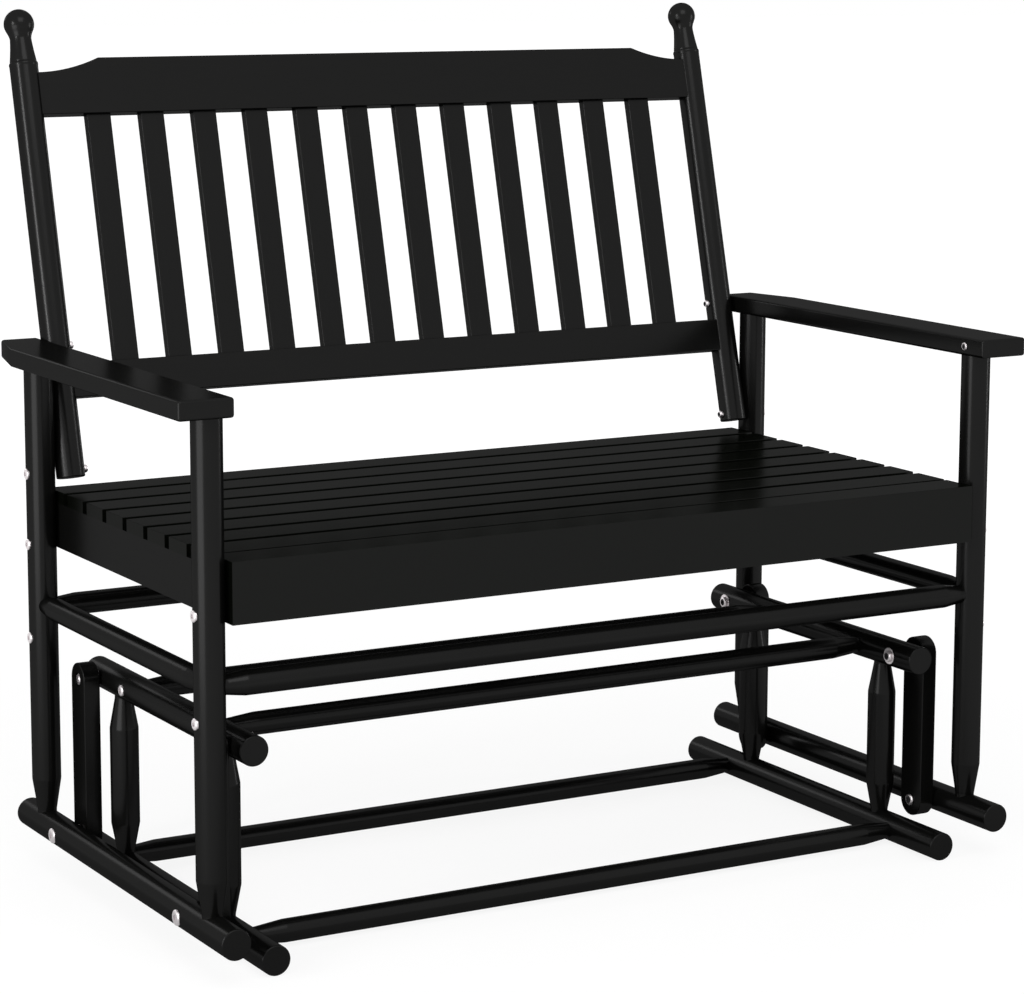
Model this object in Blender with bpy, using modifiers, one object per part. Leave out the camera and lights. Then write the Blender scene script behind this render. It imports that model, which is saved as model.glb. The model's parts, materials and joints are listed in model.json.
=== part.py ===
"""Two-seat garden glider bench in painted wood.

A floor base carries four flat links on pivot bolts, and the links carry the seat frame, which
glides forwards and backwards and stays level. X runs along the seat, -Y is the front, Z is up
from the floor. Left is -X. All sizes are in metres.
"""
import math

import bmesh
import bpy
from mathutils import Matrix, Vector

# Clearances
FIT = 0.0003                    # gap left where two pieces touch
LEG_PASSING_GAP = 0.0014        # side clearance between a link and the leg that glides past it
TURN_GAP = 0.0006               # gap round a sunk nut, which the link turns round

# Facets
BAR_SIDES = 20                  # round a leg, a post or a long rail
ROD_SIDES = 16                  # round a cross rail or a stretcher
SMALL_SIDES = 12                # round a bore or a bolt
LINK_END_STEPS = 10             # along the half circle at a link's end

# Edges
SAME_POINT = 0.00001            # points closer than this are merged
SHARP_ANGLE = math.radians(40)  # edges sharper than this are rounded
FLAT_ANGLE = math.radians(1)    # faces that meet flatter than this become one
EDGE = 0.0015                   # chamfer of slats and aprons
ARM_EDGE = 0.003                # rounding of the armrests
END_EDGE = 0.0012               # chamfer at a bar's sawn end

# Seat
SEAT_HALF_WIDTH = 0.4634        # to the outer face of a side apron
SEAT_TOP_Z = 0.4340
SLAT_THICKNESS = 0.0135
SLAT_COUNT = 9
SLAT_GAP = 0.0114
FRONT_SLAT_GAP = 0.0055         # the last gap, behind the front slat, is narrow
FRONT_SLAT_WIDTH = 0.04755
SEAT_LIP = 0.0048               # the seat's front edge, proud of the front legs
SEAT_TAIL = 0.0023              # the seat's rear edge, proud of the rear legs
APRON_HEIGHT = 0.0512
SIDE_APRON_THICKNESS = 0.018
FRONT_APRON_THICKNESS = 0.015
BEARER_WIDTH = 0.022
BEARER_HEIGHT = 0.040

# Legs and their rails
LEG_RADIUS = 0.0165
FRONT_LEG_Y = -0.2690
LEG_SPACING = 0.4561
LEG_TAPER = 0.036
LEG_FOOT_RADIUS = 0.0108
LEG_TOP_TENON_RADIUS = 0.0095
LEG_TOP_TENON = 0.012
SIDE_RAIL_RADIUS = 0.0128
SIDE_RAIL_Z = 0.3049
FRONT_STRETCHER_RADIUS = 0.0133
FRONT_STRETCHER_Z = 0.3038
REAR_STRETCHER_RADIUS = 0.0128
REAR_STRETCHER_Z = 0.3010
RAIL_END_RADIUS = 0.0102        # where a stretcher or side rail enters a leg
RAIL_END_TAPER = 0.022
RAIL_END_TENON = 0.0046         # short, because two of them meet in each leg

# Armrests
ARM_TOP_Z = 0.6024
ARM_THICKNESS = 0.0210
ARM_WIDTH = 0.0613
ARM_FRONT_OVERHANG = 0.0331     # in front of the front legs' axis
ARM_REAR_OVERHANG = 0.0452      # behind the rear legs' axis
ARM_TAPER_LENGTH = 0.0752       # the outer edge turns in over this length at the rear
ARM_TAPER_DEPTH = 0.0183

# Seat low rails
SEAT_RAIL_RADIUS = 0.0165
SEAT_RAIL_CLEARANCE = 0.0327    # above the floor
SEAT_RAIL_FRONT = 0.0590        # in front of the front legs' axis
SEAT_RAIL_REAR = 0.0534         # behind the rear legs' axis

# Links
LINK_THICKNESS = 0.0193
LINK_WIDTH = 0.0376
LINK_LENGTH = 0.1768            # between the pivots
PIVOT_INSET = 0.0550            # the pivots lie this far inside the legs
LINK_EDGE = 0.0015
NUT_SINK = 0.0055               # depth of the recess for the upper nut

# Base
BASE_LOW_RADIUS = 0.0165
BASE_TOP_RADIUS = 0.0164
BASE_POST_RADIUS = 0.0162
BASE_POST_END_RADIUS = 0.0099
BASE_POST_TAPER_TOP = 0.0343
BASE_POST_TAPER_BOTTOM = 0.0325
BASE_POST_TENON = 0.014
SPACER = 0.0028                 # gap between a top rail and a link, filled by a washer
BASE_LOW_FRONT = 0.0877         # in front of the front pivots
BASE_LOW_REAR = 0.0818          # behind the rear pivots
BASE_TOP_FRONT = 0.0393
BASE_TOP_REAR = 0.0334
FRONT_POST_INSET = 0.0346       # the posts lie this far inside the pivots
REAR_POST_INSET = 0.0403
LOW_CROSS_OUTSET = 0.0348       # the low cross rails lie this far outside the posts
TOP_CROSS_INSET = 0.0330        # the top cross rails lie this far inside the posts
CROSS_RADIUS = 0.0126
CROSS_END_RADIUS = 0.0092
CROSS_TAPER = 0.033
CROSS_TENON = 0.011

# Pivot bolts
SHANK_RADIUS = 0.0040
BOLT_HEAD_RADIUS = 0.0065
BOLT_HEAD_HEIGHT = 0.0040
LOW_HEAD_HEIGHT = 0.0025        # the head on a link's inner face, which passes the posts
SPACER_RADIUS = 0.0090
NUT_RADIUS = 0.0065
NUT_HEIGHT = 0.0042
OUTER_HEAD_HEIGHT = 0.0022

# Back
BACK_LEAN = math.radians(14.725)
BACK_FOOT_SETTING = 0.0087      # middle of the posts' lower ends, in front of the rear legs' axis
BACK_FOOT_RISE = 0.0139         # above the slats' top
BACK_POST_RADIUS = 0.0163
BEAD_AT = 0.4745                # along the post, from its foot
NECK_AT = 0.5031
BALL_AT = 0.5205
NECK_RADIUS = 0.0123
WAIST_STEPS = 4                 # from the bead up to the neck
WAIST_SWELL = 1.4               # how fast the waist widens towards the bead
BALL_RADIUS = 0.01734
BALL_START = math.radians(-38)  # where the ball's round face leaves the neck
BALL_STEPS = 8
GROOVE_DEPTH = 0.0011
BACK_RAIL_THICKNESS = 0.0212
BACK_RAIL_TENON = 0.0045        # how far the rails run past a post's surface at their faces
LOW_RAIL_AT = 0.0895
LOW_RAIL_HEIGHT = 0.0393
TOP_RAIL_AT = 0.4142
TOP_RAIL_END_HEIGHT = 0.0489
TOP_RAIL_HEIGHT = 0.0646
SHOULDER_LENGTH = 0.0758        # from a post's inner half to the corner of the flat top
SHOULDER_STEPS = 6
BACK_SLAT_COUNT = 12
BACK_SLAT_INSET = 0.0830        # from a post's axis to the middle of the slat beside it
BACK_SLAT_WIDTH = 0.0294
BACK_SLAT_THICKNESS = 0.0112
BACK_SLAT_SETBACK = 0.0017      # behind the middle of the rails
BACK_SLAT_TENON = 0.010

# Places that follow from the sizes above
LEG_X = SEAT_HALF_WIDTH + FIT + LEG_RADIUS
LEG_INNER_X = LEG_X - LEG_RADIUS
REAR_LEG_Y = FRONT_LEG_Y + LEG_SPACING
LEG_YS = {"front": FRONT_LEG_Y, "rear": REAR_LEG_Y}
SEAT_FRONT_Y = FRONT_LEG_Y - LEG_RADIUS - SEAT_LIP
SEAT_REAR_Y = REAR_LEG_Y + LEG_RADIUS + SEAT_TAIL
SEAT_DEPTH = SEAT_REAR_Y - SEAT_FRONT_Y
SLAT_PITCH = (SEAT_DEPTH - FRONT_SLAT_WIDTH + (SLAT_GAP - FRONT_SLAT_GAP) / 2) / (SLAT_COUNT - 1)
SLAT_BOTTOM_Z = SEAT_TOP_Z - SLAT_THICKNESS
APRON_TOP_Z = SLAT_BOTTOM_Z - FIT
ARM_BOTTOM_Z = ARM_TOP_Z - ARM_THICKNESS
SEAT_RAIL_Z = SEAT_RAIL_CLEARANCE + SEAT_RAIL_RADIUS
LINK_OUTER_X = LEG_INNER_X - LEG_PASSING_GAP
LINK_INNER_X = LINK_OUTER_X - LINK_THICKNESS
BASE_X = LINK_INNER_X - SPACER - BASE_TOP_RADIUS
BASE_LOW_Z = BASE_LOW_RADIUS * math.cos(math.pi / BAR_SIDES)
BASE_TOP_Z = SEAT_RAIL_Z + LINK_LENGTH
PIVOT_YS = {"front": FRONT_LEG_Y + PIVOT_INSET, "rear": REAR_LEG_Y - PIVOT_INSET}
POST_YS = {"front": PIVOT_YS["front"] + FRONT_POST_INSET, "rear": PIVOT_YS["rear"] - REAR_POST_INSET}
LOW_CROSS_YS = {"front": POST_YS["front"] - LOW_CROSS_OUTSET, "rear": POST_YS["rear"] + LOW_CROSS_OUTSET}
TOP_CROSS_YS = {"front": POST_YS["front"] + TOP_CROSS_INSET, "rear": POST_YS["rear"] - TOP_CROSS_INSET}
BACK_POST_X = LEG_INNER_X - FIT - BACK_POST_RADIUS
BACK_SLAT_PITCH = 2 * (BACK_POST_X - BACK_SLAT_INSET) / (BACK_SLAT_COUNT - 1)
BACK_FOOT_Y = REAR_LEG_Y - BACK_FOOT_SETTING
BACK_FOOT_Z = SEAT_TOP_Z + BACK_FOOT_RISE
SIDES = {"left": -1, "right": 1}

ALONG_X = (0, math.pi / 2, 0)
ALONG_Y = (-math.pi / 2, math.pi / BAR_SIDES, 0)
UPRIGHT = (0, 0, 0)


def clear_scene():
    for old in list(bpy.data.objects):
        bpy.data.objects.remove(old, do_unlink=True)


def new_collection(name):
    collection = bpy.data.collections.new(name)
    bpy.context.scene.collection.children.link(collection)
    return collection


def new_material(name, colour, roughness, metallic):
    material = bpy.data.materials.new(name)
    material.use_nodes = True
    shader = material.node_tree.nodes["Principled BSDF"]
    shader.inputs["Base Color"].default_value = (*colour, 1)
    shader.inputs["Roughness"].default_value = roughness
    shader.inputs["Metallic"].default_value = metallic
    return material


clear_scene()
bench = new_collection("glider_bench")
tools = new_collection("cutters_and_bolts")
paint = new_material("black_paint", (0.017, 0.017, 0.017), 0.42, 0.0)
steel = new_material("bright_steel", (0.62, 0.60, 0.60), 0.30, 1.0)


def add(name, mesh, place=(0, 0, 0), turn=UPRIGHT, parent=None):
    """Put a mesh in the bench as one piece. Its place is in the room's axes."""
    piece = bpy.data.objects.new(name, mesh)
    piece.location = place
    piece.rotation_euler = turn
    bench.objects.link(piece)
    if not mesh.materials:
        mesh.materials.append(paint)
    if parent:
        piece.parent = parent
        piece.matrix_parent_inverse = Matrix.Translation(parent.location).inverted()
    return piece


def as_tool(piece):
    """Turn a piece into a hidden cutter, or a bolt that is joined to a rail."""
    bench.objects.unlink(piece)
    tools.objects.link(piece)
    piece.hide_render = True
    piece.display_type = "WIRE"
    return piece


def cut(piece, cutter):
    step = piece.modifiers.new("cut " + cutter.name, "BOOLEAN")
    step.operation = "DIFFERENCE"
    step.object = cutter


def join(piece, tool):
    step = piece.modifiers.new("join " + tool.name, "BOOLEAN")
    step.operation = "UNION"
    step.material_mode = "TRANSFER"
    step.object = tool


def round_edges(piece, width, segments=1):
    step = piece.modifiers.new("edges", "BEVEL")
    step.width = width
    step.segments = segments
    step.limit_method = "ANGLE"
    step.angle_limit = SHARP_ANGLE


def turned(name, stations, sides, place=(0, 0, 0), turn=UPRIGHT, parent=None):
    """A turned bar along its own Z: stations are (height, radius) from the bottom up."""
    mesh = bpy.data.meshes.new(name)
    profile = [(stations[0][0], 0)] + list(stations) + [(stations[-1][0], 0)]
    points = [(radius, 0, height) for height, radius in reversed(profile)]
    mesh.from_pydata(points, [(i, i + 1) for i in range(len(points) - 1)], [])
    piece = add(name, mesh, place, turn, parent)
    screw = piece.modifiers.new("turn", "SCREW")
    screw.steps = sides
    screw.render_steps = sides
    screw.use_merge_vertices = True
    screw.merge_threshold = SAME_POINT
    return piece


def bore(name, piece, radius, bottom, top, place, turn=UPRIGHT, parent=None):
    """Cut a round hole into a piece, from bottom to top along the hole's own Z."""
    mesh = bpy.data.meshes.new(name)
    shape = bmesh.new()
    corner = radius / math.cos(math.pi / SMALL_SIDES)
    bmesh.ops.create_cone(shape, cap_ends=True, segments=SMALL_SIDES, radius1=corner, radius2=corner,
                          depth=top - bottom, matrix=Matrix.Translation((0, 0, (top + bottom) / 2)))
    shape.to_mesh(mesh)
    shape.free()
    cut(piece, as_tool(add(name, mesh, place, turn, parent)))


def block_mesh(name, low, high):
    """A box between two corners, with its place in the mesh."""
    low, high = Vector(low), Vector(high)
    mesh = bpy.data.meshes.new(name)
    shape = bmesh.new()
    bmesh.ops.create_cube(shape, size=1, matrix=Matrix.Translation((low + high) / 2)
                          @ Matrix.Diagonal((*(high - low), 1)))
    shape.to_mesh(mesh)
    shape.free()
    return mesh


def board(name, low, high, edge=EDGE, parent=None):
    """A board between two corners. Its origin is its middle."""
    middle = (Vector(low) + Vector(high)) / 2
    piece = add(name, block_mesh(name, Vector(low) - middle, Vector(high) - middle), middle, UPRIGHT, parent)
    round_edges(piece, edge)
    return piece


def flat_shape(name, outline, thickness):
    """A flat mesh from an outline in its own XY, centred on its thickness."""
    curve = bpy.data.curves.new(name, "CURVE")
    curve.dimensions = "2D"
    curve.fill_mode = "BOTH"
    curve.extrude = thickness / 2
    spline = curve.splines.new("POLY")
    spline.points.add(len(outline) - 1)
    for point, (x, y) in zip(spline.points, outline):
        point.co = (x, y, 0, 1)
    spline.use_cyclic_u = True
    drawn = bpy.data.objects.new(name, curve)
    bench.objects.link(drawn)
    bpy.context.view_layer.update()
    mesh = bpy.data.meshes.new_from_object(drawn.evaluated_get(bpy.context.evaluated_depsgraph_get()))
    bpy.data.objects.remove(drawn)
    shape = bmesh.new()
    shape.from_mesh(mesh)
    bmesh.ops.remove_doubles(shape, verts=shape.verts, dist=SAME_POINT)
    bmesh.ops.dissolve_limit(shape, angle_limit=FLAT_ANGLE, verts=shape.verts, edges=shape.edges)
    bmesh.ops.recalc_face_normals(shape, faces=shape.faces)
    shape.to_mesh(mesh)
    shape.free()
    mesh.materials.clear()
    return mesh


def bar_stations(length, radius):
    """A plain round bar with both sawn ends lightly chamfered."""
    return [(0, radius - END_EDGE), (END_EDGE, radius),
            (length - END_EDGE, radius), (length, radius - END_EDGE)]


def rod_stations(half, radius, end_radius, taper, tenon):
    """A cross rod about its middle: half its bare length, then a tenon at each end."""
    ends = [(half - taper, radius), (half, end_radius), (half + tenon, end_radius)]
    return [(-height, wide) for height, wide in reversed(ends)] + ends


def upper_bolt(name, rail, side, y):
    """The bolt that a link hangs on: joined to its top rail, with its nut sunk in the link."""
    link_in = LINK_INNER_X - BASE_X
    nut_seat = LINK_OUTER_X - NUT_SINK + FIT - BASE_X
    stations = [
        (-BASE_TOP_RADIUS - BOLT_HEAD_HEIGHT, BOLT_HEAD_RADIUS), (0, BOLT_HEAD_RADIUS), (0, SPACER_RADIUS),
        (link_in - FIT, SPACER_RADIUS), (link_in - FIT, SHANK_RADIUS), (nut_seat, SHANK_RADIUS),
        (nut_seat, NUT_RADIUS), (nut_seat + NUT_HEIGHT, NUT_RADIUS)]
    bolt = turned(name, stations, SMALL_SIDES, (side * BASE_X, y, BASE_TOP_Z), (0, side * math.pi / 2, 0))
    bolt.data.materials[0] = steel
    join(rail, as_tool(bolt))


def lower_bolt(name, rail, side, y, parent):
    """The bolt at a link's foot: joined to the seat's low rail, with its low head inside."""
    inner_face = LINK_INNER_X - FIT - LEG_X
    stations = [
        (inner_face - LOW_HEAD_HEIGHT, BOLT_HEAD_RADIUS), (inner_face, BOLT_HEAD_RADIUS),
        (inner_face, SHANK_RADIUS), (LINK_OUTER_X + FIT - LEG_X, SHANK_RADIUS),
        (LINK_OUTER_X + FIT - LEG_X, SPACER_RADIUS), (0, SPACER_RADIUS), (0, BOLT_HEAD_RADIUS),
        (SEAT_RAIL_RADIUS + OUTER_HEAD_HEIGHT, BOLT_HEAD_RADIUS)]
    bolt = turned(name, stations, SMALL_SIDES, (side * LEG_X, y, SEAT_RAIL_Z),
                  (0, side * math.pi / 2, 0), parent)
    bolt.data.materials[0] = steel
    join(rail, as_tool(bolt))


def make_base():
    """Low rails, top rails, posts and cross rails. Nothing here moves."""
    low_front = PIVOT_YS["front"] - BASE_LOW_FRONT
    low_rear = PIVOT_YS["rear"] + BASE_LOW_REAR
    top_front = PIVOT_YS["front"] - BASE_TOP_FRONT
    top_rear = PIVOT_YS["rear"] + BASE_TOP_REAR
    post_bottom = BASE_LOW_Z + BASE_LOW_RADIUS
    post_top = BASE_TOP_Z - BASE_TOP_RADIUS
    for label, side in SIDES.items():
        x = side * BASE_X
        low = turned("base_low_rail_" + label, bar_stations(low_rear - low_front, BASE_LOW_RADIUS), BAR_SIDES,
                     (x, low_front, BASE_LOW_Z), ALONG_Y)
        top = turned("base_top_rail_" + label, bar_stations(top_rear - top_front, BASE_TOP_RADIUS), BAR_SIDES,
                     (x, top_front, BASE_TOP_Z), ALONG_Y)
        for end, y in PIVOT_YS.items():
            upper_bolt("upper_bolt_%s_%s" % (end, label), top, side, y)
        for end, y in POST_YS.items():
            name = "base_post_%s_%s" % (end, label)
            stations = [
                (post_bottom - BASE_POST_TENON, BASE_POST_END_RADIUS), (post_bottom, BASE_POST_END_RADIUS),
                (post_bottom + BASE_POST_TAPER_BOTTOM, BASE_POST_RADIUS),
                (post_top - BASE_POST_TAPER_TOP, BASE_POST_RADIUS), (post_top, BASE_POST_END_RADIUS),
                (post_top + BASE_POST_TENON, BASE_POST_END_RADIUS)]
            turned(name, stations, BAR_SIDES, (x, y, 0))
            depth = BASE_POST_TENON + FIT
            reach = BASE_LOW_RADIUS
            wide = BASE_POST_END_RADIUS + FIT
            bore(name + "_foot_bore", low, wide, post_bottom - depth, post_bottom + reach, (x, y, 0))
            bore(name + "_head_bore", top, wide, post_top - reach, post_top + depth, (x, y, 0))
        for end, y in LOW_CROSS_YS.items():
            cross_bore("low_cross_bore_%s_%s" % (end, label), low, side, BASE_LOW_RADIUS, y, BASE_LOW_Z)
        for end, y in TOP_CROSS_YS.items():
            cross_bore("top_cross_bore_%s_%s" % (end, label), top, side, BASE_TOP_RADIUS, y, BASE_TOP_Z)
    for end, y in LOW_CROSS_YS.items():
        cross_rail("low_cross_rail_" + end, BASE_LOW_RADIUS, y, BASE_LOW_Z)
    for end, y in TOP_CROSS_YS.items():
        cross_rail("top_cross_rail_" + end, BASE_TOP_RADIUS, y, BASE_TOP_Z)


def cross_rail(name, rail_radius, y, z):
    """A rod from side to side between two base rails."""
    stations = rod_stations(BASE_X - rail_radius, CROSS_RADIUS, CROSS_END_RADIUS, CROSS_TAPER, CROSS_TENON)
    turned(name, stations, ROD_SIDES, (0, y, z), ALONG_X)


def cross_bore(name, rail, side, rail_radius, y, z):
    """The hole in a base rail's inner side that takes a cross rail's tenon."""
    bore(name, rail, CROSS_END_RADIUS + FIT, rail_radius - CROSS_TENON - FIT, 2 * rail_radius,
         (side * BASE_X, y, z), (0, -side * math.pi / 2, 0))


def make_links():
    """Four flat links. Each one's origin is its upper pivot."""
    end = LINK_WIDTH / 2
    steps = [math.pi * step / LINK_END_STEPS for step in range(LINK_END_STEPS + 1)]
    outline = [(end * math.cos(a), end * math.sin(a)) for a in steps]
    outline += [(-end * math.cos(a), -LINK_LENGTH - end * math.sin(a)) for a in steps]
    middle_x = (LINK_INNER_X + LINK_OUTER_X) / 2
    turn = (math.pi / 2, 0, math.pi / 2)
    for label, side in SIDES.items():
        for where, y in PIVOT_YS.items():
            name = "link_%s_%s" % (where, label)
            mesh = flat_shape(name, outline, LINK_THICKNESS)
            link = add(name, mesh, (side * middle_x, y, BASE_TOP_Z), turn)
            round_edges(link, LINK_EDGE)
            outwards = (0, side * math.pi / 2, 0)
            for hole, z in (("upper", BASE_TOP_Z), ("lower", SEAT_RAIL_Z)):
                bore("%s_%s_hole" % (name, hole), link, SHANK_RADIUS + FIT, -LINK_THICKNESS, LINK_THICKNESS,
                     (side * middle_x, y, z), outwards)
            recess_floor = LINK_THICKNESS / 2 - NUT_SINK
            bore(name + "_nut_recess", link, NUT_RADIUS + TURN_GAP, recess_floor, LINK_THICKNESS,
                 (side * middle_x, y, BASE_TOP_Z), outwards)


def make_legs(frame):
    """Seat low rails, legs, side rails and stretchers, with the lower pivot bolts."""
    front = FRONT_LEG_Y - SEAT_RAIL_FRONT
    rear = REAR_LEG_Y + SEAT_RAIL_REAR
    crown = SEAT_RAIL_Z + SEAT_RAIL_RADIUS
    foot_tenon = SEAT_RAIL_RADIUS
    for label, side in SIDES.items():
        x = side * LEG_X
        low = turned("seat_low_rail_" + label, bar_stations(rear - front, SEAT_RAIL_RADIUS), BAR_SIDES,
                     (x, front, SEAT_RAIL_Z), ALONG_Y, frame)
        for end, y in PIVOT_YS.items():
            lower_bolt("lower_bolt_%s_%s" % (end, label), low, side, y, frame)
        side_half = LEG_SPACING / 2 - LEG_RADIUS
        middle_y = (FRONT_LEG_Y + REAR_LEG_Y) / 2
        turned("side_rail_" + label,
               rod_stations(side_half, SIDE_RAIL_RADIUS, RAIL_END_RADIUS, RAIL_END_TAPER, RAIL_END_TENON),
               ROD_SIDES, (x, middle_y, SIDE_RAIL_Z), (-math.pi / 2, 0, 0), frame)
        for end, y in LEG_YS.items():
            name = "leg_%s_%s" % (end, label)
            leg_top = ARM_BOTTOM_Z - FIT
            stations = [
                (crown - foot_tenon, LEG_FOOT_RADIUS), (crown, LEG_FOOT_RADIUS),
                (crown + LEG_TAPER, LEG_RADIUS), (leg_top, LEG_RADIUS),
                (leg_top, LEG_TOP_TENON_RADIUS), (leg_top + LEG_TOP_TENON, LEG_TOP_TENON_RADIUS)]
            leg = turned(name, stations, BAR_SIDES, (x, y, 0), UPRIGHT, frame)
            bore(name + "_foot_bore", low, LEG_FOOT_RADIUS + FIT, crown - foot_tenon - FIT,
                 crown + SEAT_RAIL_RADIUS, (x, y, 0), UPRIGHT, frame)
            to_middle = -math.pi / 2 if end == "front" else math.pi / 2
            leg_bore(name + "_side_rail_bore", leg, (x, y, SIDE_RAIL_Z), (to_middle, 0, 0), frame)
            stretcher_z = FRONT_STRETCHER_Z if end == "front" else REAR_STRETCHER_Z
            leg_bore(name + "_stretcher_bore", leg, (x, y, stretcher_z), (0, -side * math.pi / 2, 0), frame)
    for end, y in LEG_YS.items():
        radius, z = ((FRONT_STRETCHER_RADIUS, FRONT_STRETCHER_Z) if end == "front"
                     else (REAR_STRETCHER_RADIUS, REAR_STRETCHER_Z))
        turned("stretcher_" + end,
               rod_stations(LEG_INNER_X, radius, RAIL_END_RADIUS, RAIL_END_TAPER, RAIL_END_TENON),
               ROD_SIDES, (0, y, z), ALONG_X, frame)


def leg_bore(name, leg, place, turn, frame):
    """The shallow hole in a leg that takes the end of a side rail or a stretcher."""
    floor = LEG_RADIUS - RAIL_END_TENON - FIT
    bore(name, leg, RAIL_END_RADIUS + FIT, floor, 2 * LEG_RADIUS, place, turn, frame)


def make_armrests(frame):
    """Flat boards on the legs. The rear outer corner is cut back in a long taper."""
    inner = LEG_INNER_X
    outer = inner + ARM_WIDTH
    front = FRONT_LEG_Y - ARM_FRONT_OVERHANG
    rear = REAR_LEG_Y + ARM_REAR_OVERHANG
    for label, side in SIDES.items():
        outline = [(inner, front), (outer, front), (outer, rear - ARM_TAPER_LENGTH),
                   (outer - ARM_TAPER_DEPTH, rear), (inner, rear)]
        name = "armrest_" + label
        middle_x = side * LEG_X
        mesh = flat_shape(name, [(side * x - middle_x, y) for x, y in outline], ARM_THICKNESS)
        arm = add(name, mesh, (middle_x, 0, (ARM_TOP_Z + ARM_BOTTOM_Z) / 2), UPRIGHT, frame)
        round_edges(arm, ARM_EDGE, 2)
        for end, y in LEG_YS.items():
            bore("%s_%s_bore" % (name, end), arm, LEG_TOP_TENON_RADIUS + FIT, -ARM_THICKNESS, LEG_TOP_TENON,
                 (middle_x, y, ARM_BOTTOM_Z), UPRIGHT, frame)


def slat_edges():
    """The rear and front edge of each seat slat, from the rear slat to the front one."""
    first_gap = SEAT_REAR_Y - SLAT_PITCH + SLAT_GAP / 2
    edges = [SEAT_REAR_Y]
    for index in range(SLAT_COUNT - 1):
        width = FRONT_SLAT_GAP if index == SLAT_COUNT - 2 else SLAT_GAP
        middle = first_gap - index * SLAT_PITCH
        edges += [middle + width / 2, middle - width / 2]
    edges.append(SEAT_FRONT_Y)
    return list(zip(edges[0::2], edges[1::2]))


def make_seat(frame):
    """Aprons, the bearer under the middle, and the slats that lie on them."""
    bottom = APRON_TOP_Z - APRON_HEIGHT
    front_back = SEAT_FRONT_Y + FRONT_APRON_THICKNESS
    inner = SEAT_HALF_WIDTH - SIDE_APRON_THICKNESS
    rear_front = SEAT_REAR_Y - SIDE_APRON_THICKNESS
    board("front_apron", (-SEAT_HALF_WIDTH, SEAT_FRONT_Y, bottom), (SEAT_HALF_WIDTH, front_back, APRON_TOP_Z),
          EDGE, frame)
    board("rear_apron", (-inner + FIT, rear_front, bottom), (inner - FIT, SEAT_REAR_Y, APRON_TOP_Z),
          EDGE, frame)
    board("seat_bearer", (-BEARER_WIDTH / 2, front_back + FIT, APRON_TOP_Z - BEARER_HEIGHT),
          (BEARER_WIDTH / 2, rear_front - FIT, APRON_TOP_Z), EDGE, frame)
    for label, side in SIDES.items():
        xs = sorted((side * inner, side * SEAT_HALF_WIDTH))
        board("side_apron_" + label, (xs[0], front_back + FIT, bottom), (xs[1], SEAT_REAR_Y, APRON_TOP_Z),
              EDGE, frame)
    for index, (rear, front) in enumerate(slat_edges(), 1):
        board("seat_slat_%d" % index, (-SEAT_HALF_WIDTH, front, SLAT_BOTTOM_Z),
              (SEAT_HALF_WIDTH, rear, SEAT_TOP_Z), EDGE, frame)


def back_post_stations():
    """A straight bar that ends in a bead, a waisted neck and a ball."""
    stations = [(0, BACK_POST_RADIUS - END_EDGE), (END_EDGE, BACK_POST_RADIUS)]
    groove = BEAD_AT + 2 * GROOVE_DEPTH
    stations += [(BEAD_AT - GROOVE_DEPTH, BACK_POST_RADIUS),
                 (BEAD_AT + GROOVE_DEPTH / 2, BACK_POST_RADIUS - GROOVE_DEPTH / 4),
                 (groove, BACK_POST_RADIUS - 2 * GROOVE_DEPTH)]
    flare = BACK_POST_RADIUS - GROOVE_DEPTH
    waist_start = groove + GROOVE_DEPTH
    for step in range(WAIST_STEPS + 1):
        share = step / WAIST_STEPS
        swell = (1 - share) ** WAIST_SWELL
        stations.append((waist_start + (NECK_AT - waist_start) * share,
                         NECK_RADIUS + (flare - NECK_RADIUS) * swell))
    for step in range(BALL_STEPS):
        angle = BALL_START + (math.pi / 2 - BALL_START) * step / BALL_STEPS
        stations.append((BALL_AT + BALL_RADIUS * math.sin(angle), BALL_RADIUS * math.cos(angle)))
    stations.append((BALL_AT + BALL_RADIUS, 0.0))
    return stations


def top_rail_outline(half):
    """Flat below, hollow shoulders at both ends, and a flat top between two corners."""
    low_end = TOP_RAIL_AT + TOP_RAIL_END_HEIGHT
    rise = TOP_RAIL_HEIGHT - TOP_RAIL_END_HEIGHT
    start = BACK_POST_X - BACK_POST_RADIUS + BACK_RAIL_TENON
    shoulder = []
    for step in range(SHOULDER_STEPS + 1):
        share = step / SHOULDER_STEPS
        shoulder.append((start - SHOULDER_LENGTH * share, low_end + rise * share ** 2))
    right = [(half, TOP_RAIL_AT), (half, low_end)] + shoulder
    return right + [(-x, z) for x, z in reversed(right)]


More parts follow.
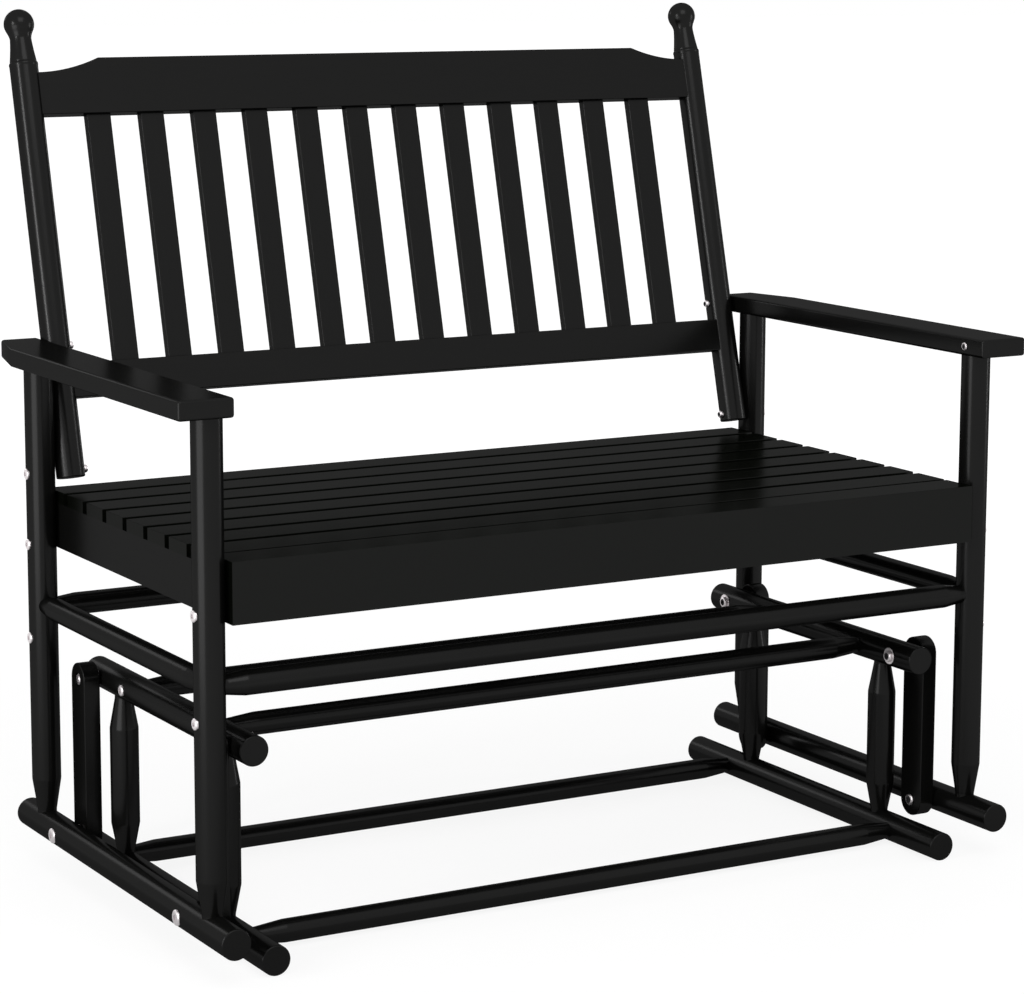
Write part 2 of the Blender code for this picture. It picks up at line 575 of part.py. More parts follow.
def make_back(frame):
    """Posts, two rails and the slats between them, built upright on a leaning empty."""
    lean = bpy.data.objects.new("back_lean", None)
    bench.objects.link(lean)
    lean.location = (0, BACK_FOOT_Y, BACK_FOOT_Z)
    lean.rotation_euler = (-BACK_LEAN, 0, 0)
    lean.parent = frame
    lean.matrix_parent_inverse = Matrix.Translation(frame.location).inverted()
    rail_half = rail_end_x()
    low_top = LOW_RAIL_AT + LOW_RAIL_HEIGHT
    depth = BACK_RAIL_THICKNESS / 2

    def local(piece):
        piece.parent = lean
        return piece

    low = local(add("back_low_rail", block_mesh("back_low_rail", (-rail_half, -depth, LOW_RAIL_AT),
                                                (rail_half, depth, low_top))))
    round_edges(low, EDGE)
    top_mesh = flat_shape("back_top_rail", top_rail_outline(rail_half), BACK_RAIL_THICKNESS)
    top_mesh.transform(Matrix.Rotation(math.pi / 2, 4, "X"))
    top = local(add("back_top_rail", top_mesh))
    round_edges(top, EDGE)
    for label, side in SIDES.items():
        name = "back_post_" + label
        post = local(turned(name, back_post_stations(), BAR_SIDES, (side * BACK_POST_X, 0, 0)))
        xs = sorted((side * (BACK_POST_X - 2 * BACK_POST_RADIUS), side * (rail_half + FIT)))
        for rail, bottom, top_z in (("low", LOW_RAIL_AT, low_top),
                                    ("top", TOP_RAIL_AT, TOP_RAIL_AT + TOP_RAIL_END_HEIGHT)):
            mesh = block_mesh("%s_%s_mortise" % (name, rail), (xs[0], -depth - FIT, bottom - FIT),
                              (xs[1], depth + FIT, top_z + FIT))
            cut(post, as_tool(local(add(mesh.name, mesh))))
    for index in range(BACK_SLAT_COUNT):
        x = (index - (BACK_SLAT_COUNT - 1) / 2) * BACK_SLAT_PITCH
        add_back_slat(index + 1, x, low, top, low_top, local)


def rail_end_x():
    """How far the back's rails reach into the posts."""
    half_thickness = BACK_RAIL_THICKNESS / 2 + FIT
    surface = math.sqrt(BACK_POST_RADIUS ** 2 - half_thickness ** 2)
    return BACK_POST_X - surface + BACK_RAIL_TENON


def add_back_slat(number, x, low, top, low_top, local):
    """One slat, let into a mortise in each rail."""
    name = "back_slat_%d" % number
    wide = BACK_SLAT_WIDTH / 2
    front = BACK_SLAT_SETBACK - BACK_SLAT_THICKNESS / 2
    rear = BACK_SLAT_SETBACK + BACK_SLAT_THICKNESS / 2
    bottom = low_top - BACK_SLAT_TENON
    above = TOP_RAIL_AT + BACK_SLAT_TENON
    slat = local(add(name, block_mesh(name, (x - wide, front, bottom), (x + wide, rear, above))))
    round_edges(slat, EDGE)
    for rail, z_low, z_high in ((low, bottom - FIT, low_top + FIT), (top, TOP_RAIL_AT - FIT, above + FIT)):
        mesh = block_mesh("%s_%s_mortise" % (name, rail.name), (x - wide - FIT, front - FIT, z_low),
                          (x + wide + FIT, rear + FIT, z_high))
        cut(rail, as_tool(local(add(mesh.name, mesh))))


make_base()
make_links()
seat_frame = bpy.data.objects.new("seat_frame", None)
seat_frame.location = (-(LINK_INNER_X + LINK_OUTER_X) / 2, PIVOT_YS["front"], SEAT_RAIL_Z)
bench.objects.link(seat_frame)
make_legs(seat_frame)
make_armrests(seat_frame)
make_seat(seat_frame)
make_back(seat_frame)
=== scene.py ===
"""Looks of the two-seat glider bench: smooth painted wood, steel bolts, floor, light and camera.

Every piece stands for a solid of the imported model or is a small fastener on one. Places come from
the frame; the sizes below are those that a box can't give. All sizes are in metres.
"""
import json
import math

import bpy
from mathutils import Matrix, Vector

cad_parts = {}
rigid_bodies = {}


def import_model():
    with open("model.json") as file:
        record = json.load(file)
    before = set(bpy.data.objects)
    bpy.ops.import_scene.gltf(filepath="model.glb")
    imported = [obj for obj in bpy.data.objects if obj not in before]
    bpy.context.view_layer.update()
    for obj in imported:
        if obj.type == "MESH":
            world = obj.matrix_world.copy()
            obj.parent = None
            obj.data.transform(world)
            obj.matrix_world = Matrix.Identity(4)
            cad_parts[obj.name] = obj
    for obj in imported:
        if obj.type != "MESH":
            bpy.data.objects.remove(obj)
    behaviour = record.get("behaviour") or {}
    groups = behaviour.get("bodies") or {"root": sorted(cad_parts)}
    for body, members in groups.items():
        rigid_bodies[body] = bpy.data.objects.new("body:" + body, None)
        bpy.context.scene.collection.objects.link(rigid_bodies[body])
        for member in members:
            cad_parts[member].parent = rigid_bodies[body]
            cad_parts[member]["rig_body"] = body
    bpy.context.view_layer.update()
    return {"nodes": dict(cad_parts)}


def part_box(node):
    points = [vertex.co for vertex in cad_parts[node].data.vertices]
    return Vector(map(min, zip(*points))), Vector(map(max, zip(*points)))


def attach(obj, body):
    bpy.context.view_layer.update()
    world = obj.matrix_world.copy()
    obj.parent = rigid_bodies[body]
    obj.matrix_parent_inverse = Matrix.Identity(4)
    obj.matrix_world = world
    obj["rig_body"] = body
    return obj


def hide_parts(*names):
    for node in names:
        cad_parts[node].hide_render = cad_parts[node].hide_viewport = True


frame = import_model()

# Camera, in the photograph's frame of 1024 x 994
CAMERA_PLACE = (-1.7685, -3.1476, 1.0576)
CAMERA_TURN = (80.835, -0.166, -29.627)
CAMERA_LENS = 112.1
CAMERA_FILM_WIDTH = 36
CAMERA_SHIFT_Y = -0.05
CAMERA_NEAR = 0.05
CAMERA_FAR = 100

# Light: levels are brightness seen from the object, 1 being white paper
SKY_LEVEL = 0.55
LAMPS = (                       # name, place, aim, size and level
    ("near_softbox_left", (-1.75, -0.6, 0.46), (0, 0, 0.46), (1.1, 0.9), 3.5),
    ("high_strip_left", (-3.3, -0.85, 1.55), (0, 0, 0.9), (0.42, 0.9), 22),
    ("strip_right", (3.3, -1.1, 0.7), (0, 0, 0.5), (0.30, 1.3), 14),
    ("strip_back_right", (2.9, 2.0, 0.8), (0, 0, 0.5), (0.30, 1.3), 14),
    ("rim_back_left", (-0.9, 2.9, 1.62), (0, 0, 0.4), (0.9, 0.5), 4),
    ("fill_front", (-0.6, -2.7, 3.4), (0, 0, 0.4), (2.4, 2.2), 2.6),
)

# Floor: a (near, far) reach is measured from the middle of the object
FLOOR_SIZE = 60
FLOOR_DROP = 0.0002             # below the rails that stand on it
FLOOR_COLOUR = (0.15, 0.15, 0.15, 1)
FLOOR_ROUGHNESS = 0.9
FLOOR_WHITE = 0.88              # near the object, and 1 far from it
FLOOR_WHITE_REACH = (0.8, 3.0)
# Painted shade: glossy rays see the floor dimmer right beside the object, which darkens the paint's
# lower parts
NEAR_FLOOR_SHARE = 0.55         # of that white, mirrored in the paint right beside the object
NEAR_FLOOR_REACH = (0.5, 1.15)

# Paint: a bump is its strength and its depth
FRAME_BLACK = (0.0038, 0.0038, 0.0036)
# Painted shade and tint: the seat boards take a darker, olive copy of the frame's black, standing in
# for the dimmer, warmer light on the seat's front
SEAT_BLACK_SHADED = (0.0018, 0.0022, 0.0015)
GRAIN_STRETCH = 0.035           # scale along the grain, which draws its marks out
GRAIN_SCALE = 420
GRAIN_DETAIL = 5
GRAIN_ROUGHNESS = 0.62
GRAIN_BUMP = (0.22, 0.00035)
GRAIN_COAT_BUMP = (0.05, 0.0002)
GRAIN_TONES = (0.90, 1.10)      # shares of the paint's colour, in the grain and beside it
GRAIN_TONES_AT = (0.30, 0.72)
BRUSH_SCALE = 1100
BRUSH_BUMP = (0.10, 0.0001)
PATCH_SCALE = 14
PATCH_DETAIL = 4
PATCH_RANGE = (0.3, 0.7)
PAINT_ROUGHNESS = (0.40, 0.50)
COAT_WEIGHT = 0.050
COAT_ROUGHNESS = 0.23
COAT_IOR = 3.0

# Steel
STEEL_MARK_SCALE = 900
STEEL_MARK_DETAIL = 3
STEEL_ROUGHNESS = (0.22, 0.40)
STEEL_TONES = ((0.60, 0.56, 0.57, 1), (0.80, 0.76, 0.77, 1))
STEEL_BUMP = (0.15, 0.00005)
# Painted shade: a dark lining inside the hexagon sockets, in place of the shade in the recess
SOCKET_SHADE_SCALE = 1500
SOCKET_SHADE_TONES = ((0.008, 0.008, 0.009, 1), (0.030, 0.029, 0.030, 1))
SOCKET_ROUGHNESS = 0.55
SOCKET_SPECULAR = 0.2

# Roundness
ROUND_SIDES = 48
BOLT_SIDES = 32
END_ROUNDING = 0.0014           # at a round bar's sawn end
CORNER_REACH = 0.0012           # of the rounding where a turned taper starts
CORNER_SHARE = 0.45             # most of a taper's length that the rounding takes
CORNER_STEPS = (0, 0.33, 0.67, 1)
BOARD_EDGE = 0.0012
SLAT_EDGE = 0.0005
ARM_EDGE = 0.0032
EDGE_STEPS = 3
EDGE_ANGLE = 40                 # degrees; sharper edges are rounded
SHOULDER_EDGE_ANGLE = 30
SMOOTH_ANGLE = 40               # degrees; flatter edges are shaded smooth
BOLT_SMOOTH_ANGLE = 30
FLAT_FACE_WEIGHT = 60
IN_LINE = 0.00001               # points closer than this along an axis are in line
FACES_AXIS = 0.9                # least share of its normal with which a face looks along an axis

# Legs, stretchers and side rails
LEG_RADIUS = 0.0165
LEG_TAPER = 0.036
LEG_FOOT_RADIUS = 0.0108
LEG_TOP_SINK = 0.0004           # into the armrest
RAIL_END_RADIUS = 0.0102
RAIL_END_TAPER = 0.022
FRONT_STRETCHER_RADIUS = 0.0133
THIN_RAIL_RADIUS = 0.0128
RAIL_TENON = 0.0046

# Base
BASE_RAIL_RADIUS = 0.0164
BASE_POST_RADIUS = 0.0162
BASE_POST_END_RADIUS = 0.0099
BASE_POST_TAPER_TOP = 0.0343
BASE_POST_TAPER_BOTTOM = 0.0325
BASE_POST_TENON = 0.014
CROSS_RADIUS = 0.0126
CROSS_END_RADIUS = 0.0092
CROSS_TAPER = 0.033
CROSS_TENON = 0.011

# Links
LINK_WIDTH = 0.0376
LINK_EDGE = 0.0012
LINK_EDGE_ANGLE = 60
LINK_END_STEPS = 20
LINK_END_SHARE = 0.999          # of half the width, so that the two roundings don't meet
LINK_SAME_POINT = 0.0001        # points closer than this become one
NUT_SINK = 0.0055
NUT_RECESS_RADIUS = 0.0079
BORE_LENGTH = 0.05              # more than a link is thick
PLAY = 0.0003                   # between a pivot's pieces

# Seat
SEAT_SLATS = 9

# Armrests
ARM_TAPER_LENGTH = 0.0752
ARM_TAPER_DEPTH = 0.0183

# Back, measured along a post from its foot
BACK_LEAN = math.radians(14.725)
BACK_FOOT = Vector((0, 0.1784, 0.4479))
BACK_POST_RADIUS = 0.0163
GROOVE_AT = 0.4767
GROOVE_RADIUS = 0.0152
GROOVE_HALF_WIDTH = 0.0003
GROOVE_LIP = 0.0008             # from the groove's middle down to its rounded lip
GROOVE_LIP_DROP = 0.0004
BEAD_RADIUS = 0.0166
BEAD_START = 0.0052             # from the groove's middle down to the bead's lower end
BEAD_LENGTH = 0.0040
BEAD_STEPS = 7
WAIST_START = 0.0010            # from the groove's middle up to the waist
WAIST_DROP = 0.0010             # the waist starts this much thinner than the post
WAIST_STEPS = 12
WAIST_SWELL = 1.35              # how fast the waist widens towards the bead
NECK_AT = 0.5031
NECK_RADIUS = 0.0123
BALL_AT = 0.5205
BALL_RADIUS = 0.01727
BALL_START = math.radians(-28)
BALL_STEPS = 22
BALL_POLE_SHARE = 0.02          # of the ball's radius, left for its last ring
FILLET_STEPS = 8
BACK_RAIL_THICKNESS = 0.0212
RAIL_INSET_IN_POST = 0.0045
LOW_RAIL_AT = 0.0895
LOW_RAIL_HEIGHT = 0.0393
TOP_RAIL_AT = 0.4142
TOP_RAIL_END_HEIGHT = 0.0489
TOP_RAIL_HEIGHT = 0.0646
SHOULDER_LENGTH = 0.0758
SHOULDER_STEPS = 14
BACK_SLAT_THICKNESS = 0.0112
BACK_SLAT_SETBACK = 0.0017
BACK_SLAT_TENON = 0.010

# Bolts
HEAD_RADIUS = 0.0064
HEAD_HEIGHT = 0.0032
PIVOT_HEAD_RADIUS = 0.0086
PIVOT_HEAD_SINK = 0.0015
LOW_HEAD_RADIUS = 0.0068
LOW_HEAD_HEIGHT = 0.0024
CAP_HEAD_RADIUS = 0.0047
CAP_HEAD_HEIGHT = 0.0046
CAP_HEAD_SINK = 0.0004
ARM_HEAD_HEIGHT = 0.0018
HEAD_SEAT_SHARE = 0.96          # of a head's radius, where it meets the wood
HEAD_RIM_AT = 0.12              # share of a head's height at which it is widest
HEAD_DOME_AT = 0.35             # share of a head's height at which its dome starts
HEAD_FLAT_SHARE = 0.62          # of a head's radius, flat on top of the dome
HEAD_STEPS = 6
SOCKET_SHARE = 0.41             # socket's width as a share of its head's
SOCKET_DEPTH = 0.45             # share of the head's height
SOCKET_INSIDE = 0.95            # share of the socket's width within which a face is its lining
WASHER_THICKNESS = 0.0012
WASHER_RIM_SHARE = 0.25         # of its thickness, rounded
WASHER_SINK = 0.0006
BIG_WASHER_RADIUS = 0.0095
SPACER_RADIUS = 0.0090
SPACER_SINK = 0.003             # into the round rail that it lies on
CUT_THROUGH = 4                 # a hole's cutter is this many times as long as the washer is thick
SHANK_RADIUS = 0.0040
SHANK_TIP = 0.0008
HEXAGON = 6
NUT_RADIUS = 0.0070
NUT_HEIGHT = 0.0042
NUT_EDGE = 0.0005
NUT_EDGE_ANGLE = 50
LEG_BOLT_HEIGHTS = {"front": (0.3781, 0.2668), "rear": (0.4547, 0.3744, 0.2668)}
POST_BOLT_HEIGHTS = (0.5932, 0.4566)
ARM_BOLT_HEIGHT = 0.592

SIDES = {"left": -1, "right": 1}
ENDS = ("front", "rear")
X_AXIS = 0
Z_AXIS = 2
ALONG_X = (0, math.pi / 2, 0)
ALONG_Y = (-math.pi / 2, 0, 0)
UPRIGHT = (0, 0, 0)


def middle(node):
    low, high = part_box(node)
    return (low + high) / 2


def half_size(node):
    low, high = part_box(node)
    return (high - low) / 2


# Materials
def new_material(name):
    material = bpy.data.materials.new(name)
    material.use_nodes = True
    tree = material.node_tree
    return material, tree, tree.nodes["Principled BSDF"]


def object_place(tree):
    return tree.nodes.new("ShaderNodeTexCoord").outputs["Object"]


def moved(tree, place, setting, value):
    node = tree.nodes.new("ShaderNodeMapping")
    node.inputs[setting].default_value = value
    tree.links.new(place, node.inputs["Vector"])
    return node.outputs["Vector"]


def noise(tree, place, scale, detail=2, roughness=0.5):
    node = tree.nodes.new("ShaderNodeTexNoise")
    node.inputs["Scale"].default_value = scale
    node.inputs["Detail"].default_value = detail
    node.inputs["Roughness"].default_value = roughness
    tree.links.new(place, node.inputs["Vector"])
    return node.outputs["Fac"]


def bump(tree, height, strength_and_depth, below=None):
    node = tree.nodes.new("ShaderNodeBump")
    node.inputs["Strength"].default_value, node.inputs["Distance"].default_value = strength_and_depth
    tree.links.new(height, node.inputs["Height"])
    if below:
        tree.links.new(below, node.inputs["Normal"])
    return node.outputs["Normal"]


def blend_colours(tree, share, colours, places=(0, 1)):
    node = tree.nodes.new("ShaderNodeValToRGB")
    for element, colour, place in zip(node.color_ramp.elements, colours, places):
        element.position = place
        element.color = colour
    tree.links.new(share, node.inputs["Fac"])
    return node.outputs["Color"]


def map_range(tree, value, values, results, kind="LINEAR"):
    node = tree.nodes.new("ShaderNodeMapRange")
    node.interpolation_type = kind
    node.inputs["From Min"].default_value, node.inputs["From Max"].default_value = values
    node.inputs["To Min"].default_value, node.inputs["To Max"].default_value = results
    tree.links.new(value, node.inputs["Value"])
    return node.outputs["Result"]


def combine(tree, operation, first, second, clamp=False):
    """Two numbers, each an output or a plain value, combined by a sum or the like."""
    node = tree.nodes.new("ShaderNodeMath")
    node.operation = operation
    node.use_clamp = clamp
    for number, socket in zip((first, second), node.inputs):
        if isinstance(number, (int, float)):
            socket.default_value = number
        else:
            tree.links.new(number, socket)
    return node.outputs["Value"]


def paint(name, colour, grain_axis, lean=0.0):
    """Black satin paint on planed wood: long grain and brush marks just show through it."""
    material, tree, shader = new_material(name)
    place = moved(tree, object_place(tree), "Rotation", (lean, 0, 0))
    stretch = [GRAIN_STRETCH if axis == grain_axis else 1 for axis in "XYZ"]
    along_grain = moved(tree, place, "Scale", stretch)
    grain = noise(tree, along_grain, GRAIN_SCALE, GRAIN_DETAIL, GRAIN_ROUGHNESS)
    brush_marks = noise(tree, place, BRUSH_SCALE)
    patches = noise(tree, place, PATCH_SCALE, PATCH_DETAIL)

    surface = bump(tree, brush_marks, BRUSH_BUMP, bump(tree, grain, GRAIN_BUMP))
    tree.links.new(surface, shader.inputs["Normal"])
    tree.links.new(bump(tree, grain, GRAIN_COAT_BUMP), shader.inputs["Coat Normal"])
    tones = [(*[share * c for c in colour], 1) for share in GRAIN_TONES]
    tree.links.new(blend_colours(tree, grain, tones, GRAIN_TONES_AT), shader.inputs["Base Color"])
    tree.links.new(map_range(tree, patches, PATCH_RANGE, PAINT_ROUGHNESS), shader.inputs["Roughness"])

    shader.inputs["Specular IOR Level"].default_value = 0.0
    shader.inputs["Coat Weight"].default_value = COAT_WEIGHT
    shader.inputs["Coat Roughness"].default_value = COAT_ROUGHNESS
    shader.inputs["Coat IOR"].default_value = COAT_IOR
    return material


def bright_steel():
    """Zinc-plated steel with fine turning marks."""
    material, tree, shader = new_material("zinc_plated_steel")
    marks = noise(tree, object_place(tree), STEEL_MARK_SCALE, STEEL_MARK_DETAIL)
    tree.links.new(map_range(tree, marks, (0, 1), STEEL_ROUGHNESS), shader.inputs["Roughness"])
    tree.links.new(blend_colours(tree, marks, STEEL_TONES), shader.inputs["Base Color"])
    tree.links.new(bump(tree, marks, STEEL_BUMP), shader.inputs["Normal"])
    shader.inputs["Metallic"].default_value = 1.0
    return material


def painted_socket_shade():
    """Dark steel lining for the sockets: painted shade, standing in for the shade in the hexagon
    recess.
    """
    material, tree, shader = new_material("socket_lining_painted_shade")
    shade_variation = noise(tree, object_place(tree), SOCKET_SHADE_SCALE)
    tree.links.new(blend_colours(tree, shade_variation, SOCKET_SHADE_TONES), shader.inputs["Base Color"])
    shader.inputs["Roughness"].default_value = SOCKET_ROUGHNESS
    shader.inputs["Specular IOR Level"].default_value = SOCKET_SPECULAR
    return material


paint_x = paint("black_paint_grain_across", FRAME_BLACK, "X")
paint_y = paint("black_paint_grain_front_to_back", FRAME_BLACK, "Y")
paint_z = paint("black_paint_grain_upright", FRAME_BLACK, "Z")
paint_back = paint("black_paint_grain_up_the_back", FRAME_BLACK, "Z", BACK_LEAN)
paint_seat = paint("black_paint_seat_painted_shade", SEAT_BLACK_SHADED, "X")
steel = bright_steel()
socket_steel = painted_socket_shade()


# Modelling by hand: a primitive is shaped in edit mode and then put in its place
def clear_selection():
    bpy.ops.object.select_all(action="DESELECT")


def pick(piece):
    """Leave only this piece selected, and make it the active one."""
    clear_selection()
    piece.select_set(True)
    bpy.context.view_layer.objects.active = piece


def edit():
    bpy.ops.object.mode_set(mode="EDIT")


def leave_edit():
    bpy.ops.object.mode_set(mode="OBJECT")


def fix_normals():
    bpy.ops.mesh.select_all(action="SELECT")
    bpy.ops.mesh.normals_make_consistent(inside=False)


def draw_out(x=0, y=0, z=0):
    """In edit mode, draw the selected faces out into a new stretch."""
    bpy.ops.mesh.extrude_region_move(TRANSFORM_OT_translate={"value": (x, y, z)})


def split_at(place, normal):
    """Cut new edges into a board along a plane."""
    edit()
    bpy.ops.mesh.select_all(action="SELECT")
    bpy.ops.mesh.bisect(plane_co=place, plane_no=normal)
    leave_edit()


def select_only(piece, kind, test):
    """From object mode, enter edit mode with only those edges or faces selected that pass the test."""
    mesh = piece.data
    edit()
    bpy.ops.mesh.select_mode(type="EDGE" if kind == "edges" else "FACE")
    bpy.ops.mesh.select_all(action="DESELECT")
    leave_edit()
    for part in getattr(mesh, kind):
        part.select = test(mesh, part)
    edit()


def turned(stations, sides=ROUND_SIDES, pole=False):
    """A round bar along +Z: a disc is drawn out and scaled from one (height, radius) to the next."""
    clear_selection()
    height, radius = stations[0]
    bpy.ops.mesh.primitive_circle_add(vertices=sides, radius=radius, fill_type="NGON")
    edit()
    bpy.ops.transform.translate(value=(0, 0, height))
    for next_height, next_radius in stations[1:]:
        draw_out(z=next_height - height)
        scale = next_radius / radius
        bpy.ops.transform.resize(value=(scale, scale, 1), center_override=(0, 0, next_height))
        height, radius = next_height, next_radius
    if pole:
        bpy.ops.mesh.merge(type="CENTER")
    fix_normals()
    leave_edit()
    return bpy.context.object


def rounded_end(height, radius, rounding, upwards):
    """Stations of a rounded end: from the cap to the full radius, or back again."""
    steps = [math.pi / 2 * step / EDGE_STEPS for step in range(EDGE_STEPS + 1)]
    ring = [(height + rounding * (1 - math.sin(a)), radius - rounding * (1 - math.cos(a)))
            for a in reversed(steps)]
    if upwards:
        return [(2 * height - z, r) for z, r in reversed(ring)]
    return ring


def plain_bar(low, high, radius):
    """Stations of a bar of one thickness with rounded ends."""
    return (rounded_end(low, radius, END_ROUNDING, False)
            + rounded_end(high, radius, END_ROUNDING, True))


def soft_corners(stations):
    """Round the turned corners where a taper starts, so that they catch the light."""
    soft = [stations[0]]
    for before, here, after in zip(stations, stations[1:], stations[2:]):
        points = []
        for other in (before, after):
            share = min(CORNER_REACH / math.dist(here, other), CORNER_SHARE)
            points.append([h + (o - h) * share for h, o in zip(here, other)])
        for t in CORNER_STEPS:
            near = [(1 - t) * a + t * h for a, h in zip(points[0], here)]
            far = [(1 - t) * h + t * b for h, b in zip(here, points[1])]
            soft.append(tuple((1 - t) * n + t * f for n, f in zip(near, far)))
    return soft + [stations[-1]]


def block(low, high):
    clear_selection()
    low, high = Vector(low), Vector(high)
    bpy.ops.mesh.primitive_cube_add(size=1, location=(low + high) / 2, scale=high - low)
    bpy.ops.object.transform_apply(location=True, rotation=True, scale=True)
    return bpy.context.object


def cylinder(sides, radius, depth, place=(0, 0, 0), turn=UPRIGHT):
    clear_selection()
    bpy.ops.mesh.primitive_cylinder_add(vertices=sides, radius=radius, depth=depth,
                                        location=place, rotation=turn)
    return bpy.context.object


def soften_edges(piece, width, sharper_than=EDGE_ANGLE):
    """Round every edge that is sharper than an angle, as sanding does."""
    step = piece.modifiers.new("sanded edges", "BEVEL")
    step.width = width
    step.segments = EDGE_STEPS
    step.limit_method = "ANGLE"
    step.angle_limit = math.radians(sharper_than)
    bpy.context.view_layer.objects.active = piece
    bpy.ops.object.modifier_apply(modifier=step.name)


def cut_with(piece, cutter):
    step = piece.modifiers.new("cut", "BOOLEAN")
    step.operation = "DIFFERENCE"
    step.object = cutter
    bpy.context.view_layer.objects.active = piece
    bpy.ops.object.modifier_apply(modifier=step.name)
    bpy.data.objects.remove(cutter)


def put(piece, place, turn=UPRIGHT):
    """Turn and place a piece, then move its place into its mesh."""
    pick(piece)
    piece.rotation_euler = turn
    piece.location = place
    bpy.ops.object.transform_apply(location=True, rotation=True, scale=True)


def finish_piece(piece, name, body, material, node=None, smooth=SMOOTH_ANGLE):
    pick(piece)
    bpy.ops.object.shade_smooth_by_angle(angle=math.radians(smooth))
    flats = piece.modifiers.new("flat faces stay flat", "WEIGHTED_NORMAL")
    flats.keep_sharp = True
    flats.weight = FLAT_FACE_WEIGHT
    bpy.ops.object.modifier_apply(modifier=flats.name)
    piece.name = name
    piece.data.name = name
    if not piece.data.materials:
        piece.data.materials.append(material)
    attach(piece, body)
    if node:
        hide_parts(node)
    return piece


def painted(piece, node, material):
    return finish_piece(piece, "painted_" + node, frame["nodes"][node]["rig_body"], material, node)


def rod(node, radius, end_radius, taper, tenon, turn, material):
    """A cross rod with a taper and a tenon at both ends."""
    half = max(half_size(node)) - tenon
    ends = [(half - taper, radius), (half, end_radius), (half + tenon, end_radius)]
    stations = [(-height, wide) for height, wide in reversed(ends)] + ends
    bar = turned(soft_corners(stations))
    put(bar, middle(node), turn)
    painted(bar, node, material)


def is_along(mesh, edge, axis):
    a, b = (mesh.vertices[i].co for i in edge.vertices)
    return all(abs(a[other] - b[other]) < IN_LINE for other in range(3) if other != axis)


# Floor base
def base_x(label):
    return middle("base_post_front_" + label).x


def base_level(level):
    return middle("%s_cross_rail_front" % level).z


def make_base():
    for label in SIDES:
        for level in ("low", "top"):
            node = "base_%s_rail_%s" % (level, label)
            low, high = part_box(node)
            place = Vector((base_x(label), 0, base_level(level)))
            radius = place.z if level == "low" else BASE_RAIL_RADIUS
            bar = turned(plain_bar(low.y, high.y, radius))
            put(bar, place, ALONG_Y)
            painted(bar, node, paint_y)
        for end in ENDS:
            make_base_post("base_post_%s_%s" % (end, label))
    for level in ("low", "top"):
        for end in ENDS:
            node = "%s_cross_rail_%s" % (level, end)
            rod(node, CROSS_RADIUS, CROSS_END_RADIUS, CROSS_TAPER, CROSS_TENON, ALONG_X, paint_x)


def make_base_post(node):
    """A turned post, tapered to a tenon at both ends."""
    low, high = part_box(node)
    bottom = low.z + BASE_POST_TENON
    top = high.z - BASE_POST_TENON
    post = turned(soft_corners([
        (low.z, BASE_POST_END_RADIUS),
        (bottom, BASE_POST_END_RADIUS),
        (bottom + BASE_POST_TAPER_BOTTOM, BASE_POST_RADIUS),
        (top - BASE_POST_TAPER_TOP, BASE_POST_RADIUS),
        (top, BASE_POST_END_RADIUS),
        (high.z, BASE_POST_END_RADIUS)]))
    put(post, (middle(node).x, middle(node).y, 0))
    painted(post, node, paint_z)


# Links
def make_links():
    """Flat bars with full round ends, bored at both pivots and sunk for the nut at the upper one."""
    half = LINK_WIDTH / 2
    for label, side in SIDES.items():
        for end in ENDS:
            node = "link_%s_%s" % (end, label)
            low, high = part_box(node)
            link = block(low, high)
            select_only(link, "edges", lambda mesh, edge: is_along(mesh, edge, X_AXIS))
            bpy.ops.mesh.bevel(offset=half * LINK_END_SHARE, segments=LINK_END_STEPS, profile=0.5,
                               affect="EDGES")
            bpy.ops.mesh.select_all(action="SELECT")
            bpy.ops.mesh.remove_doubles(threshold=LINK_SAME_POINT)
            leave_edit()
            soften_edges(link, LINK_EDGE, LINK_EDGE_ANGLE)
            outer = high.x if side > 0 else low.x
            centre = (low + high) / 2
            top_pivot = high.z - half
            foot_pivot = low.z + half
            recess = cylinder(ROUND_SIDES, NUT_RECESS_RADIUS, 2 * NUT_SINK,
                              (outer, centre.y, top_pivot), ALONG_X)
            cut_with(link, recess)
            for z in (top_pivot, foot_pivot):
                bore = cylinder(ROUND_SIDES, SHANK_RADIUS + PLAY, BORE_LENGTH,
                                (centre.x, centre.y, z), ALONG_X)
                cut_with(link, bore)
            painted(link, node, paint_z)


# Seat frame
def make_legs():
    crown = middle("seat_low_rail_left").z + LEG_RADIUS
    arm_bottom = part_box("armrest_left")[0].z
    ends = (RAIL_END_RADIUS, RAIL_END_TAPER, RAIL_TENON)
    for label in SIDES:
        node = "seat_low_rail_" + label
        low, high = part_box(node)
        bar = turned(plain_bar(low.y, high.y, LEG_RADIUS))
        put(bar, (middle("leg_front_" + label).x, 0, middle(node).z), ALONG_Y)
        painted(bar, node, paint_y)
        for end in ENDS:
            node = "leg_%s_%s" % (end, label)
            leg = turned(soft_corners([
                (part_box(node)[0].z, LEG_FOOT_RADIUS),
                (crown, LEG_FOOT_RADIUS),
                (crown + LEG_TAPER, LEG_RADIUS),
                (arm_bottom + LEG_TOP_SINK, LEG_RADIUS)]))
            put(leg, (middle(node).x, middle(node).y, 0))
            painted(leg, node, paint_z)
        rod("side_rail_" + label, THIN_RAIL_RADIUS, *ends, ALONG_Y, paint_y)
    rod("stretcher_front", FRONT_STRETCHER_RADIUS, *ends, ALONG_X, paint_x)
    rod("stretcher_rear", THIN_RAIL_RADIUS, *ends, ALONG_X, paint_x)


def is_at(mesh, edge, x, y):
    points = [mesh.vertices[i].co for i in edge.vertices]
    return all(abs(point.x - x) < IN_LINE and abs(point.y - y) < IN_LINE for point in points)


